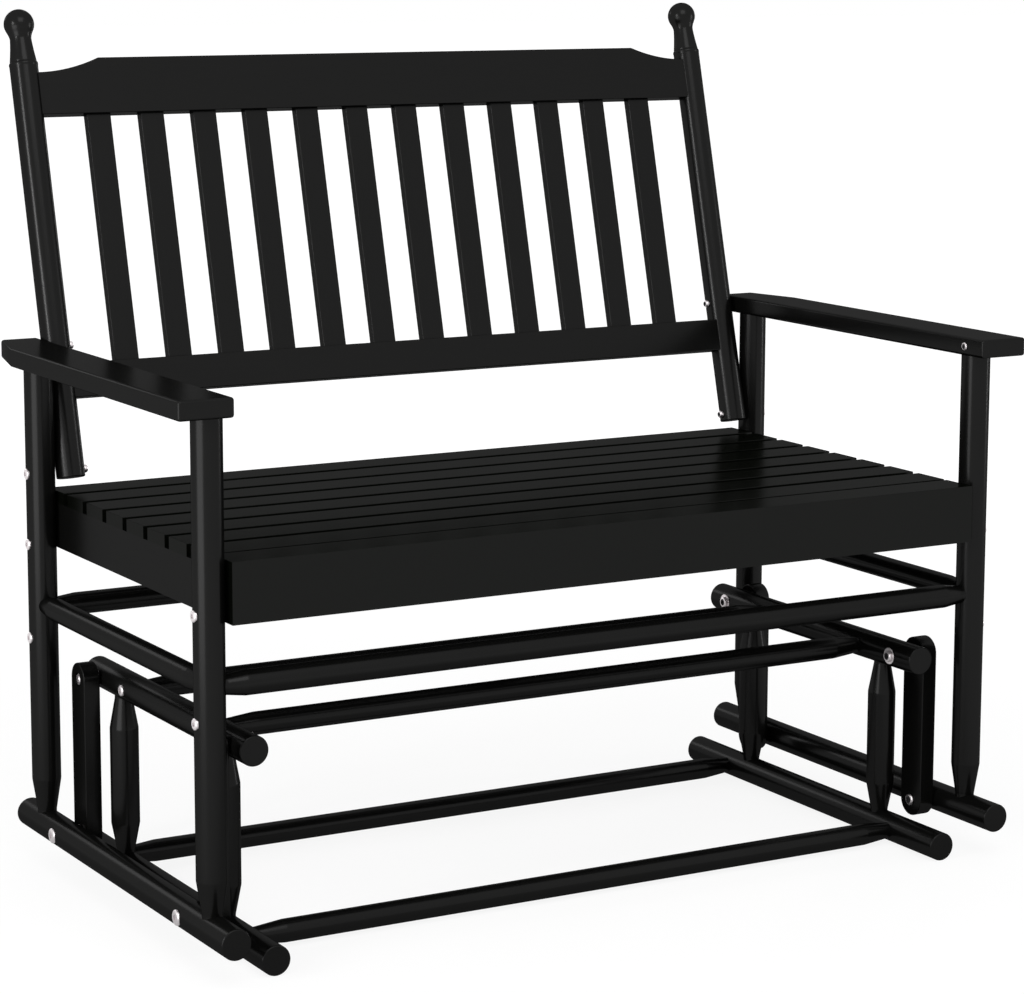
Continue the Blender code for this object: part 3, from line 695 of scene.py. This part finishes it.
def make_armrests():
    """Boards whose rear outer corner is sawn back in a long taper."""
    for label, side in SIDES.items():
        node = "armrest_" + label
        low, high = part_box(node)
        arm = block(low, high)
        split_at((0, high.y - ARM_TAPER_LENGTH, 0), (0, 1, 0))
        outer = high.x if side > 0 else low.x
        select_only(arm, "edges", lambda mesh, edge: is_along(mesh, edge, Z_AXIS)
                    and is_at(mesh, edge, outer, high.y))
        bpy.ops.transform.translate(value=(-side * ARM_TAPER_DEPTH, 0, 0))
        fix_normals()
        leave_edit()
        soften_edges(arm, ARM_EDGE)
        painted(arm, node, paint_y)


def make_seat():
    make_seat_front()
    board("rear_apron", paint_seat)
    board("seat_bearer", paint_y)
    for label in SIDES:
        board("side_apron_" + label, paint_y, 0)
    apron_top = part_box("side_apron_left")[1].z
    for number in range(1, SEAT_SLATS):
        node = "seat_slat_%d" % number
        low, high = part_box(node)
        slat = block((low.x, low.y, apron_top), high)
        round_top_edges(slat, SLAT_EDGE)
        painted(slat, node, paint_seat)


def make_seat_front():
    """The front slat and the apron below it are glued into one board with an angle section."""
    apron_low, apron_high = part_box("front_apron")
    slat_low, slat_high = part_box("seat_slat_%d" % SEAT_SLATS)
    front = block(apron_low, (apron_high.x, apron_high.y, slat_high.z))
    split_at((0, 0, slat_low.z), (0, 0, 1))
    select_only(front, "polygons", lambda mesh, face: face.normal.y > FACES_AXIS
                and face.center.z > slat_low.z)
    draw_out(y=slat_high.y - apron_high.y)
    leave_edit()
    round_top_edges(front, SLAT_EDGE)
    piece = painted(front, "front_apron", paint_seat)
    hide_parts("seat_slat_%d" % SEAT_SLATS)


def round_top_edges(piece, width):
    top = max(v.co.z for v in piece.data.vertices)
    select_only(piece, "edges", lambda mesh, edge: all(
        abs(mesh.vertices[i].co.z - top) < IN_LINE for i in edge.vertices))
    bpy.ops.mesh.bevel(offset=width, segments=EDGE_STEPS, affect="EDGES")
    leave_edit()


def board(node, material, edge=BOARD_EDGE):
    piece = block(*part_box(node))
    if edge:
        soften_edges(piece, edge)
    painted(piece, node, material)


# Back, modelled upright and then leant back
def lean_back(piece, x=0):
    put(piece, BACK_FOOT + Vector((x, 0, 0)), (-BACK_LEAN, 0, 0))


def back_post_stations():
    """Foot, bar, bead, groove, waist, neck, the fillet under the ball and the ball."""
    stations = rounded_end(0, BACK_POST_RADIUS, END_ROUNDING, False)
    bead_from = GROOVE_AT - BEAD_START
    stations += [(bead_from, BACK_POST_RADIUS)]
    for step in range(1, BEAD_STEPS):
        swell = (BEAD_RADIUS - BACK_POST_RADIUS) * math.sin(math.pi * step / BEAD_STEPS)
        stations.append((bead_from + BEAD_LENGTH * step / BEAD_STEPS, BACK_POST_RADIUS + swell))
    stations += [(GROOVE_AT - GROOVE_LIP, BACK_POST_RADIUS - GROOVE_LIP_DROP),
                 (GROOVE_AT - GROOVE_HALF_WIDTH, GROOVE_RADIUS),
                 (GROOVE_AT + GROOVE_HALF_WIDTH, GROOVE_RADIUS)]
    waist_from = GROOVE_AT + WAIST_START
    flare = BACK_POST_RADIUS - WAIST_DROP
    for step in range(WAIST_STEPS + 1):
        share = step / WAIST_STEPS
        stations.append((waist_from + (NECK_AT - waist_from) * share,
                         NECK_RADIUS + (flare - NECK_RADIUS) * (1 - share) ** WAIST_SWELL))
    start = Vector((BALL_AT + BALL_RADIUS * math.sin(BALL_START), BALL_RADIUS * math.cos(BALL_START)))
    neck = Vector((NECK_AT, NECK_RADIUS))
    corner_at = start.x - (start.y - NECK_RADIUS) * math.tan(math.pi / 2 + BALL_START)
    corner = Vector((corner_at, NECK_RADIUS))
    for step in range(1, FILLET_STEPS):
        t = step / FILLET_STEPS
        stations.append(tuple(neck * (1 - t) ** 2 + corner * 2 * t * (1 - t) + start * t ** 2))
    for step in range(BALL_STEPS):
        angle = BALL_START + (math.pi / 2 - BALL_START) * step / BALL_STEPS
        stations.append((BALL_AT + BALL_RADIUS * math.sin(angle), BALL_RADIUS * math.cos(angle)))
    stations.append((BALL_AT + BALL_RADIUS, BALL_RADIUS * BALL_POLE_SHARE))
    return stations


def make_back():
    post_x = middle("back_post_right").x
    for label, side in SIDES.items():
        post = turned(back_post_stations(), pole=True)
        lean_back(post, side * post_x)
        painted(post, "back_post_" + label, paint_back)
    depth = BACK_RAIL_THICKNESS / 2
    half = half_size("back_low_rail").x
    low_rail = block((-half, -depth, LOW_RAIL_AT), (half, depth, LOW_RAIL_AT + LOW_RAIL_HEIGHT))
    soften_edges(low_rail, BOARD_EDGE)
    lean_back(low_rail)
    painted(low_rail, "back_low_rail", paint_x)
    make_top_rail(post_x, half, depth)
    front = BACK_SLAT_SETBACK - BACK_SLAT_THICKNESS / 2
    slat_count = sum(node.startswith("back_slat_") for node in frame["nodes"])
    for number in range(1, slat_count + 1):
        node = "back_slat_%d" % number
        low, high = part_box(node)
        slat = block((low.x, front, LOW_RAIL_AT + LOW_RAIL_HEIGHT - BACK_SLAT_TENON),
                     (high.x, front + BACK_SLAT_THICKNESS, TOP_RAIL_AT + BACK_SLAT_TENON))
        soften_edges(slat, BOARD_EDGE)
        lean_back(slat)
        painted(slat, node, paint_back)


def make_top_rail(post_x, half, depth):
    """The flat-topped middle is drawn out at both ends, step by step, into the hollow shoulders."""
    shoulder_end = post_x - BACK_POST_RADIUS + RAIL_INSET_IN_POST
    corner = shoulder_end - SHOULDER_LENGTH
    top = TOP_RAIL_AT + TOP_RAIL_HEIGHT
    rail = block((-corner, -depth, TOP_RAIL_AT), (corner, depth, top))
    rise = TOP_RAIL_HEIGHT - TOP_RAIL_END_HEIGHT
    for side in SIDES.values():
        select_only(rail, "polygons", lambda mesh, face: face.normal.x * side > FACES_AXIS)
        height = TOP_RAIL_HEIGHT
        for step in range(1, SHOULDER_STEPS + 1):
            share = 1 - step / SHOULDER_STEPS
            next_height = TOP_RAIL_END_HEIGHT + rise * share ** 2
            draw_out(x=side * SHOULDER_LENGTH / SHOULDER_STEPS)
            bpy.ops.transform.resize(value=(1, 1, next_height / height),
                                     center_override=(0, 0, TOP_RAIL_AT))
            height = next_height
        draw_out(x=side * (half - shoulder_end))
        leave_edit()
    edit()
    fix_normals()
    leave_edit()
    soften_edges(rail, BOARD_EDGE, SHOULDER_EDGE_ANGLE)
    lean_back(rail)
    painted(rail, "back_top_rail", paint_x)


# Bolts, washers and nuts, each modelled along +Z with its seat at the origin
def socket_head(radius, height, lining):
    """A low domed head with a hexagon socket."""
    stations = [(0, radius * HEAD_SEAT_SHARE), (height * HEAD_RIM_AT, radius)]
    for step in range(1, HEAD_STEPS + 1):
        angle = math.pi / 2 * step / HEAD_STEPS
        rise = HEAD_DOME_AT + (1 - HEAD_DOME_AT) * math.sin(angle)
        reach = HEAD_FLAT_SHARE + (1 - HEAD_FLAT_SHARE) * math.cos(angle)
        stations.append((height * rise, radius * reach))
    head = turned(stations, BOLT_SIDES)
    socket_radius = radius * SOCKET_SHARE
    cut_with(head, cylinder(HEXAGON, socket_radius, height * 2 * SOCKET_DEPTH, (0, 0, height)))
    head.data.materials.append(steel)
    head.data.materials.append(lining)
    # Faces inside the socket take the lining; the dark socket lining is painted shade in the recess
    for face in head.data.polygons:
        if math.hypot(face.center.x, face.center.y) < socket_radius * SOCKET_INSIDE:
            face.material_index = 1
    return head


def washer(radius, thickness):
    """A flat ring round the bolt's shank, with a small rounded rim."""
    rim = thickness * WASHER_RIM_SHARE
    ring = turned([(0, radius - rim), (rim, radius), (thickness - rim, radius),
                   (thickness, radius - rim)], BOLT_SIDES)
    cut_with(ring, cylinder(BOLT_SIDES, SHANK_RADIUS, thickness * CUT_THROUGH))
    return ring


def hex_nut():
    """A six-sided nut, its edges rounded."""
    nut = cylinder(HEXAGON, NUT_RADIUS, NUT_HEIGHT, (0, 0, NUT_HEIGHT / 2))
    bpy.ops.object.transform_apply(location=True, rotation=True, scale=True)
    soften_edges(nut, NUT_EDGE, NUT_EDGE_ANGLE)
    return nut


def shank_end(length):
    """The end of a bolt, which stands a little out of its nut."""
    return turned([(0, SHANK_RADIUS), (length - SHANK_TIP, SHANK_RADIUS),
                   (length, SHANK_RADIUS - SHANK_TIP)], BOLT_SIDES)


def fasten(piece, name, body, place, direction):
    """Set a bolt, washer or nut with its seat at place, facing along direction."""
    pick(piece)
    piece.rotation_mode = "QUATERNION"
    piece.rotation_quaternion = Vector(direction).to_track_quat("Z", "Y")
    piece.location = place
    bpy.ops.object.transform_apply(location=True, rotation=True, scale=True)
    piece.rotation_mode = "XYZ"
    finish_piece(piece, name, body, steel, smooth=BOLT_SMOOTH_ANGLE)


def fasten_copy(pattern, name, body, place, direction):
    """Set a copy with its own mesh and keep the pattern for the next one."""
    pick(pattern)
    bpy.ops.object.duplicate(linked=False)
    fasten(bpy.context.object, name, body, place, direction)


def make_fasteners():
    patterns = {
        "head": socket_head(HEAD_RADIUS, HEAD_HEIGHT, steel),
        "pivot_head": socket_head(PIVOT_HEAD_RADIUS, HEAD_HEIGHT, steel),
        "upper_head": socket_head(LOW_HEAD_RADIUS, HEAD_HEIGHT, socket_steel),
        "low_head": socket_head(LOW_HEAD_RADIUS, LOW_HEAD_HEIGHT, socket_steel),
        "cap_head": socket_head(CAP_HEAD_RADIUS, CAP_HEAD_HEIGHT, socket_steel),
        "arm_head": socket_head(CAP_HEAD_RADIUS, ARM_HEAD_HEIGHT, socket_steel),
        "big_washer": washer(BIG_WASHER_RADIUS, WASHER_THICKNESS),
        "nut": hex_nut(),
    }
    for label, side in SIDES.items():
        for end in ENDS:
            make_side_bolts(end, label, side, patterns)
            make_upper_pivot(end, label, side, patterns)
            make_lower_pivot(end, label, side, patterns)
        make_back_bolts(label, side, patterns)
    for pattern in patterns.values():
        bpy.data.objects.remove(pattern)


def make_side_bolts(end, label, side, patterns):
    """The bolts in one leg, and the one beside it that holds a cross rail of the base."""
    out = Vector((side, 0, 0))
    sink = LEG_RADIUS - math.sqrt(LEG_RADIUS ** 2 - HEAD_RADIUS ** 2)
    leg = middle("leg_%s_%s" % (end, label))
    for number, z in enumerate(LEG_BOLT_HEIGHTS[end], 1):
        place = (leg.x + side * (LEG_RADIUS - sink), leg.y, z)
        fasten_copy(patterns["head"], "leg_bolt_%s_%s_%d" % (end, label, number), "seat", place, out)
    cross = middle("top_cross_rail_" + end)
    place = (base_x(label) + side * (BASE_RAIL_RADIUS - sink), cross.y, cross.z)
    fasten_copy(patterns["head"], "cross_rail_bolt_%s_%s" % (end, label), "base", place, out)


def make_back_bolts(label, side, patterns):
    """The bolts through one back post, and the one in the armrest's inner edge."""
    inwards = Vector((-side, 0, 0))
    post = middle("back_post_" + label)
    for number, z in enumerate(POST_BOLT_HEIGHTS, 1):
        y = BACK_FOOT.y + (z - BACK_FOOT.z) * math.tan(BACK_LEAN)
        place = (post.x - side * (BACK_POST_RADIUS - CAP_HEAD_SINK), y, z)
        fasten_copy(patterns["cap_head"], "post_bolt_%s_%d" % (label, number), "seat", place, inwards)
    edge = side * min(abs(v.x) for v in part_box("armrest_" + label))
    place = (edge, middle("leg_front_" + label).y, ARM_BOLT_HEIGHT)
    fasten_copy(patterns["arm_head"], "armrest_bolt_" + label, "seat", place, inwards)


def link_faces(end, label, side):
    """A link's inner and outer face across the bench, and its middle from front to back."""
    low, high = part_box("link_%s_%s" % (end, label))
    inner, outer = sorted((abs(low.x), abs(high.x)))
    return side * inner, side * outer, (low.y + high.y) / 2


def make_upper_pivot(end, label, side, patterns):
    """Washer and head inside the base's top rail, spacer, and the nut sunk in the link."""
    out = Vector((side, 0, 0))
    inner_face, outer_face, y = link_faces(end, label, side)
    z = base_level("top")
    name = "%s_%s" % (end, label)
    seat_x = base_x(label) - side * (BASE_RAIL_RADIUS - WASHER_SINK)
    fasten_copy(patterns["big_washer"], "upper_pivot_washer_" + name, "base", (seat_x, y, z), -out)
    head_x = seat_x - side * WASHER_THICKNESS
    fasten_copy(patterns["upper_head"], "upper_pivot_bolt_" + name, "base", (head_x, y, z), -out)
    rail_side = base_x(label) + side * (BASE_RAIL_RADIUS - SPACER_SINK)
    spacer = washer(SPACER_RADIUS, abs(inner_face - rail_side) - PLAY)
    fasten(spacer, "upper_pivot_spacer_" + name, "base", (rail_side, y, z), out)
    recess_floor = outer_face - side * (NUT_SINK - PLAY)
    fasten_copy(patterns["nut"], "upper_pivot_nut_" + name, "base", (recess_floor, y, z), out)
    tip = shank_end(NUT_HEIGHT + SHANK_TIP)
    fasten(tip, "upper_pivot_bolt_end_" + name, "base", (recess_floor, y, z), out)


def make_lower_pivot(end, label, side, patterns):
    """Head outside the seat's low rail, spacer, and the low head on the link's inner face."""
    out = Vector((side, 0, 0))
    inner_face, outer_face, y = link_faces(end, label, side)
    z = middle("seat_low_rail_" + label).z
    name = "%s_%s" % (end, label)
    rail_x = middle("leg_front_" + label).x
    head_x = rail_x + side * (LEG_RADIUS - PIVOT_HEAD_SINK)
    fasten_copy(patterns["pivot_head"], "lower_pivot_bolt_" + name, "seat", (head_x, y, z), out)
    rail_side = rail_x - side * (LEG_RADIUS - SPACER_SINK)
    spacer = washer(SPACER_RADIUS, abs(rail_side - outer_face) - PLAY)
    fasten(spacer, "lower_pivot_spacer_" + name, "seat", (rail_side, y, z), -out)
    head_x = inner_face - side * PLAY
    fasten_copy(patterns["low_head"], "lower_pivot_head_" + name, "seat", (head_x, y, z), -out)


# Stage
def make_floor():
    """Pale floor that looks white where it is lit and keeps the object's soft shadow."""
    clear_selection()
    bpy.ops.mesh.primitive_plane_add(size=FLOOR_SIZE, location=(0, 0, -FLOOR_DROP))
    floor = bpy.context.object
    floor.name = "studio_floor"
    material, tree, shader = new_material("pale_floor")
    shader.inputs["Base Color"].default_value = FLOOR_COLOUR
    shader.inputs["Roughness"].default_value = FLOOR_ROUGHNESS
    shader.inputs["Specular IOR Level"].default_value = 0.0

    length = tree.nodes.new("ShaderNodeVectorMath")
    length.operation = "LENGTH"
    tree.links.new(object_place(tree), length.inputs[0])
    distance = length.outputs["Value"]
    level = map_range(tree, distance, FLOOR_WHITE_REACH, (FLOOR_WHITE, 1), "SMOOTHSTEP")
    strength = combine(tree, "MULTIPLY", level, seen_directly(tree))
    white = tree.nodes.new("ShaderNodeEmission")
    white.inputs["Color"].default_value = (1, 1, 1, 1)
    tree.links.new(combine(tree, "MULTIPLY", strength, share_mirrored(tree, distance)),
                   white.inputs["Strength"])

    both = tree.nodes.new("ShaderNodeAddShader")
    tree.links.new(shader.outputs["BSDF"], both.inputs[0])
    tree.links.new(white.outputs["Emission"], both.inputs[1])
    tree.links.new(both.outputs["Shader"], tree.nodes["Material Output"].inputs["Surface"])
    floor.data.materials.append(material)


def share_mirrored(tree, distance):
    """1, but less for glossy rays that meet the floor near the object: painted shade in the paint's
    reflections of the floor.
    """
    near = map_range(tree, distance, NEAR_FLOOR_REACH, (NEAR_FLOOR_SHARE, 1), "SMOOTHSTEP")
    path = tree.nodes.new("ShaderNodeLightPath")
    not_glossy = combine(tree, "SUBTRACT", 1, path.outputs["Is Glossy Ray"])
    return combine(tree, "MAXIMUM", near, not_glossy)


def seen_directly(tree):
    """1 for camera, glossy and transmission rays: they see the white studio."""
    path = tree.nodes.new("ShaderNodeLightPath")
    total = path.outputs["Is Camera Ray"]
    for ray in ("Is Glossy Ray", "Is Transmission Ray"):
        total = combine(tree, "ADD", total, path.outputs[ray], clamp=True)
    return total


def make_world():
    world = bpy.data.worlds.new("studio")
    bpy.context.scene.world = world
    world.use_nodes = True
    tree = world.node_tree
    light = tree.nodes["Background"]
    light.inputs["Color"].default_value = (1, 1, 1, 1)
    light.inputs["Strength"].default_value = SKY_LEVEL
    white = tree.nodes.new("ShaderNodeBackground")
    white.inputs["Color"].default_value = (1, 1, 1, 1)
    white.inputs["Strength"].default_value = 1.0
    mix = tree.nodes.new("ShaderNodeMixShader")
    tree.links.new(seen_directly(tree), mix.inputs["Fac"])
    tree.links.new(light.outputs["Background"], mix.inputs[1])
    tree.links.new(white.outputs["Background"], mix.inputs[2])
    tree.links.new(mix.outputs["Shader"], tree.nodes["World Output"].inputs["Surface"])


def make_light():
    for name, place, aim, size, level in LAMPS:
        data = bpy.data.lights.new(name, "AREA")
        data.shape = "RECTANGLE"
        data.size, data.size_y = size
        data.energy = level * size[0] * size[1] * math.pi
        lamp = bpy.data.objects.new(name, data)
        bpy.context.scene.collection.objects.link(lamp)
        lamp.location = place
        lamp.rotation_euler = (Vector(aim) - Vector(place)).to_track_quat("-Z", "Y").to_euler()
        lamp.visible_camera = False


def make_camera():
    data = bpy.data.cameras.new("view")
    data.sensor_width = CAMERA_FILM_WIDTH
    data.lens = CAMERA_LENS
    data.shift_y = CAMERA_SHIFT_Y
    data.clip_start = CAMERA_NEAR
    data.clip_end = CAMERA_FAR
    camera = bpy.data.objects.new("view", data)
    bpy.context.scene.collection.objects.link(camera)
    camera.location = CAMERA_PLACE
    camera.rotation_euler = [math.radians(a) for a in CAMERA_TURN]
    bpy.context.scene.camera = camera


make_base()
make_links()
make_legs()
make_armrests()
make_seat()
make_back()
make_fasteners()
make_floor()
make_world()
make_light()
make_camera()
bpy.context.scene.view_settings.view_transform = "Standard"
